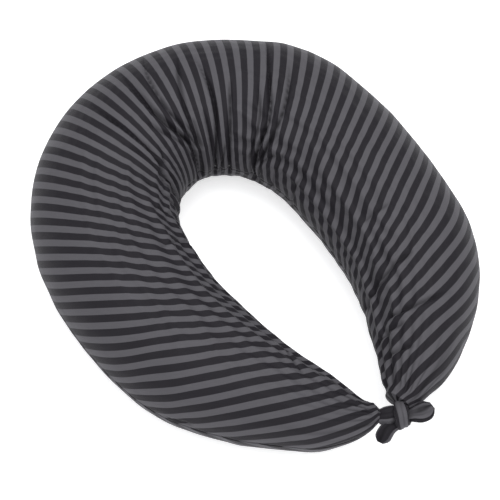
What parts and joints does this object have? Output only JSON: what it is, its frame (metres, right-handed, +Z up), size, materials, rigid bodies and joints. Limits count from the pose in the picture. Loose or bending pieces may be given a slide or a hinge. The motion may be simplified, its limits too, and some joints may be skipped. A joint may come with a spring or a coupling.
{
  "type": "nursing pillow",
  "caption": "Stuffed crescent nursing pillow in a striped fabric cover, its ends tied into a teardrop ring, with a zip along the back edge.",
  "frame": {"origin": "middle of the overall footprint, on the plane the pillow rests on", "axes": "+Z up, across the flat lying ring; -Y towards the tied ends; +Y towards the back of the ring"},
  "size_m": [0.5298, 0.6507, 0.1607],
  "materials": {
    "striped_cover": "woven, charcoal and grey stripes",
    "striped_cover_under": "woven, charcoal and grey stripes",
    "bag_cloth": "plain woven cotton",
    "filling": "loose fibre filling",
    "bag_thread": "sewing thread",
    "seam_binding": "overlocked seam edge",
    "neck_cloth": "gathered woven cloth",
    "tie_cloth": "plain woven cloth",
    "zip_tape": "knitted tape",
    "zip_coil": "nylon coil",
    "zip_metal": "black enamel",
    "topstitch": "sewing thread",
    "care_label": "satin ribbon, blank"
  },
  "bodies": {
    "pillow": {"cover_top_panel": "striped_cover", "cover_bottom_panel": "striped_cover_under", "inner_bag_top_panel": "bag_cloth", "inner_bag_bottom_panel": "bag_cloth", "filling": "filling", "bag_closing_thread": "bag_thread", "seam_binding_outer": "seam_binding", "seam_binding_inner": "seam_binding", "left_neck_binding": "neck_cloth", "right_neck_binding": "neck_cloth", "left_tie_band": "tie_cloth", "right_tie_band": "tie_cloth", "zip_tape_upper": "zip_tape", "zip_tape_lower": "zip_tape", "zip_coil_upper": "zip_coil", "zip_coil_lower": "zip_coil", "zip_top_stops": "zip_metal", "zip_bottom_stop": "zip_metal", "zip_topstitch_upper": "topstitch", "zip_topstitch_lower": "topstitch", "care_label": "care_label"},
    "zip_slider": {"zip_slider_body": "zip_metal"},
    "zip_pull": {"zip_pull_tab": "zip_metal"}
  },
  "joints": [
    {"name": "zip_run", "type": "hinge", "parent": "pillow", "child": "zip_slider", "pos_m": [-0.00145, 0.07065, 0.066], "axis": [0, 0, 1], "range_deg": [0, 71]},
    {"name": "pull_swing", "type": "hinge", "parent": "zip_slider", "child": "zip_pull", "pos_m": [0.14808, 0.28029, 0.066], "axis": [0, 0, -1], "range_deg": [0, 165]}
  ]
}
